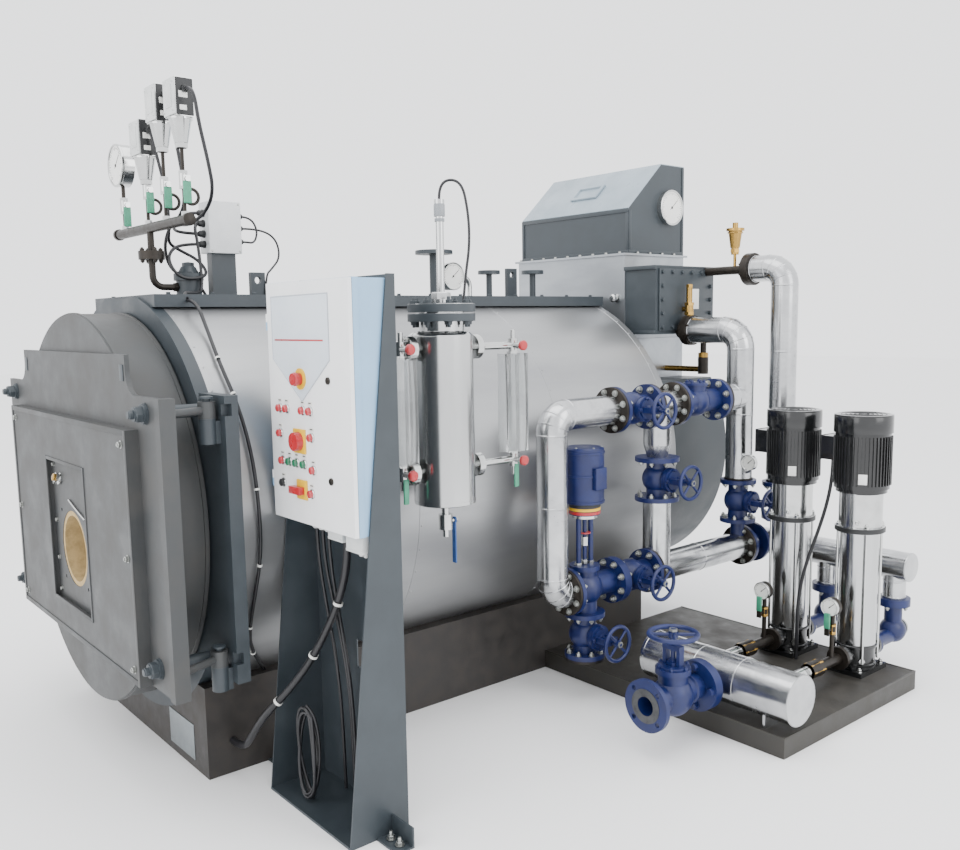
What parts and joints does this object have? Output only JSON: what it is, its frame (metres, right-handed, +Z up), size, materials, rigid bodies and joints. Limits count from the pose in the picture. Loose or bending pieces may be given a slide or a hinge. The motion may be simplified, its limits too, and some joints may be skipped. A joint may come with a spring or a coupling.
{
  "type": "industrial boiler",
  "caption": "Horizontal fire-tube boiler with hinged front door, control panel on a stand, level column, economizer and feed pump skid",
  "frame": {"origin": "On the floor under the shell's axis, at the middle of the base's length", "axes": "+X from the boiler towards the pump skid, +Y from the front door to the rear, +Z up"},
  "size_m": [2.566, 2.96, 2.312],
  "materials": {
    "base_paint": "semi-matte brownish black paint",
    "dark_paint": "semi-matte dark grey paint",
    "door_paint": "semi-matte warm grey paint",
    "boiler_plate": "sooted boiler plate",
    "jacket_aluminium": "satin rolled sheet",
    "pipe_cladding": "bright rolled sheet",
    "stainless": "bright stainless steel",
    "refractory": "cast refractory",
    "black_iron": "black painted casting",
    "brass": "machined brass",
    "switch_grey": "light grey casting",
    "green_lever": "green plastic sleeve",
    "box_grey": "pale grey moulding",
    "cabinet_blue": "light blue powder coat",
    "cabinet_white": "white powder coat",
    "control_red": "moulded plastic",
    "gauge_glass": "clear borosilicate glass",
    "blue_enamel": "glossy blue enamel",
    "motor_black": "gloss black paint",
    "cable_black": "smooth black sheath"
  },
  "bodies": {
    "boiler": {"base_sides": "base_paint", "base_cross_plates": "base_paint", "jacket": "jacket_aluminium", "front_ring": "dark_paint", "tube_plates": "boiler_plate", "furnace_tube": "boiler_plate", "smokebox": "dark_paint", "deck": "dark_paint", "hinge_plates": "dark_paint", "flue_duct": "jacket_aluminium", "economizer_body": "jacket_aluminium", "economizer_header": "dark_paint", "economizer_flanges": "black_iron", "header_fittings": "brass", "flue_hood": "dark_paint", "dial_gauges": "stainless", "deck_nozzles": "dark_paint", "instrument_manifold": "dark_paint", "pressure_switches": "switch_grey", "instrument_cocks": "green_lever", "junction_box": "box_grey", "panel_stand": "dark_paint", "cabinet_shell": "cabinet_blue", "cable_glands": "box_grey", "level_bottle": "stainless", "level_probe": "box_grey", "level_cocks": "stainless", "gauge_glasses": "gauge_glass", "skid_frame": "base_paint", "pump_casings": "black_iron", "pump_sleeves": "stainless", "pump_motors": "motor_black", "suction_header": "pipe_cladding", "suction_branches": "stainless", "main_valve": "blue_enamel", "pipe_cladding": "pipe_cladding", "station_valves": "blue_enamel", "control_valve": "blue_enamel", "control_actuator": "blue_enamel", "discharge_valves": "blue_enamel", "jacket_cable": "cable_black", "stand_cable": "cable_black", "probe_cable": "cable_black", "switch_cable": "cable_black", "pump_cable": "cable_black", "cable_coil": "cable_black"},
    "front_door_leaf": {"door_drum": "door_paint", "door_refractory": "refractory", "door_strongback": "door_paint", "burner_plate": "door_paint", "door_clamps": "dark_paint"},
    "cabinet_door_leaf": {"cabinet_door": "cabinet_white", "cabinet_controls": "control_red"},
    "main_valve_wheel_body": {"main_valve_wheel": "blue_enamel"},
    "feed_stop_wheel_body": {"feed_stop_wheel": "blue_enamel"},
    "bypass_wheel_body": {"bypass_wheel": "blue_enamel"},
    "lower_stop_wheel_body": {"lower_stop_wheel": "blue_enamel"},
    "feed_riser_wheel_body": {"feed_riser_wheel": "blue_enamel"},
    "drain_valve_wheel_body": {"drain_valve_wheel": "blue_enamel"},
    "drain_lever_body": {"drain_lever": "blue_enamel"}
  },
  "joints": [
    {"name": "front_door", "type": "hinge", "parent": "boiler", "child": "front_door_leaf", "pos_m": [0.77, -1.128, 0.8685], "axis": [0, 0, 1], "range_deg": [0, 100]},
    {"name": "cabinet_door", "type": "hinge", "parent": "boiler", "child": "cabinet_door_leaf", "pos_m": [0.755, -0.91, 1.2625], "axis": [0, 0, 1], "range_deg": [-52, 0]},
    {"name": "main_valve_wheel", "type": "hinge", "parent": "boiler", "child": "main_valve_wheel_body", "pos_m": [1.42, 0.241, 0.411], "axis": [0, 0, 1], "range_deg": [0, 2160]},
    {"name": "feed_stop_wheel", "type": "hinge", "parent": "boiler", "child": "feed_stop_wheel_body", "pos_m": [1.075, 0.6065, 1.14], "axis": [1, 0, 0], "range_deg": [0, 1440]},
    {"name": "bypass_wheel", "type": "hinge", "parent": "boiler", "child": "bypass_wheel_body", "pos_m": [1.075, 0.775, 0.834], "axis": [1, 0, 0], "range_deg": [0, 1440]},
    {"name": "lower_stop_wheel", "type": "hinge", "parent": "boiler", "child": "lower_stop_wheel_body", "pos_m": [1.075, 0.6065, 0.45], "axis": [1, 0, 0], "range_deg": [0, 1440]},
    {"name": "feed_riser_wheel", "type": "hinge", "parent": "boiler", "child": "feed_riser_wheel_body", "pos_m": [1.075, 1.35, 0.664], "axis": [1, 0, 0], "range_deg": [0, 1440]},
    {"name": "drain_valve_wheel", "type": "hinge", "parent": "boiler", "child": "drain_valve_wheel_body", "pos_m": [1.075, 0.34, 0.262], "axis": [1, 0, 0], "range_deg": [0, 1440]},
    {"name": "drain_lever", "type": "hinge", "parent": "boiler", "child": "drain_lever_body", "pos_m": [0.92, -0.3227, 0.822], "axis": [0, -1, 0], "range_deg": [0, 90]}
  ]
}
